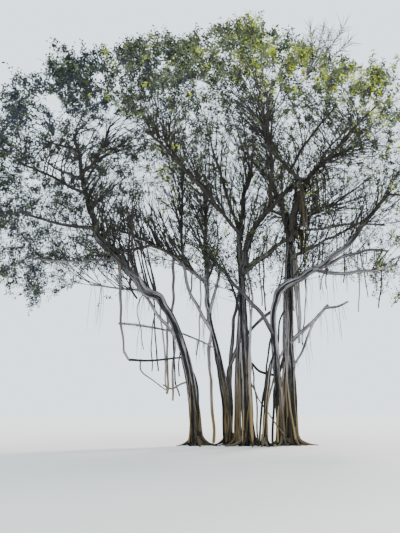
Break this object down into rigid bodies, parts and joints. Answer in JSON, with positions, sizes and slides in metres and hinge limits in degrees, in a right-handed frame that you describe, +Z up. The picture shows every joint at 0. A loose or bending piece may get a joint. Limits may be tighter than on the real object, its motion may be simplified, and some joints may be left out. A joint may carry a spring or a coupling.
{
  "type": "banyan tree",
  "caption": "Broad banyan tree: a main trunk among stout root-stems, long boughs that rise and spread, hanging roots, and masses of small leaves in one wide dome.",
  "frame": {"origin": "centre of the flat cut under the main trunk, at ground level", "axes": "+Z up; +X to the right of the pictured view, along the crown's longest side; -Y towards the viewer"},
  "size_m": [26.3123, 21.1062, 21.8608],
  "materials": {
    "bark": "smooth grey bark of a fig tree, ribbed where strands of root have grown together",
    "hanging_roots": "thin matt bark, paler than the boughs",
    "leaves": "leathery leaves, dark green with a soft gloss, yellow-green where the sun comes through"
  },
  "bodies": {
    "root": {"back_left_leaves": "leaves", "back_middle_bough": "bark", "back_middle_leaves": "leaves", "back_right_bough": "bark", "back_right_leaves": "leaves", "broken_bough": "bark", "dark_pillar": "bark", "diagonal_limb": "bark", "front_left_bough": "bark", "front_left_leaves": "leaves", "front_middle_bough": "bark", "front_middle_leaves": "leaves", "front_right_bough": "bark", "front_right_leaves": "leaves", "inner_left_limb": "bark", "inner_left_stem": "bark", "inner_right_pillar": "bark", "left_bough": "bark", "left_front_leaves": "leaves", "left_hanging_root": "hanging_roots", "left_low_leaves": "leaves", "left_low_limb": "bark", "left_middle_limb": "bark", "left_rear_limb": "bark", "left_side_leaves": "leaves", "left_stem": "bark", "left_top_leaves": "leaves", "left_upright_limb": "bark", "link_limb": "bark", "low_left_leaves": "leaves", "low_left_limb": "bark", "main_trunk": "bark", "middle_hanging_root": "hanging_roots", "right_bough": "bark", "right_fork_left": "bark", "right_fork_right": "bark", "right_hanging_root": "hanging_roots", "right_low_leaves": "leaves", "right_low_limb": "bark", "right_outer_bough": "bark", "right_rear_leaves": "leaves", "right_rear_limb": "bark", "right_rim_leaves": "leaves", "right_trunk": "bark", "side_pillar": "bark", "tall_left_limb": "bark", "top_back_leaves": "leaves", "top_front_leaves": "leaves", "top_left_leaves": "leaves", "top_middle_leaves": "leaves", "top_right_leaves": "leaves", "trunk_left_limb": "bark", "trunk_right_limb": "bark", "under_left_limb": "bark", "upper_left_arm": "bark", "upper_left_bough": "bark", "upper_right_arm": "bark", "upper_right_leaves": "leaves"}
  },
  "joints": []
}
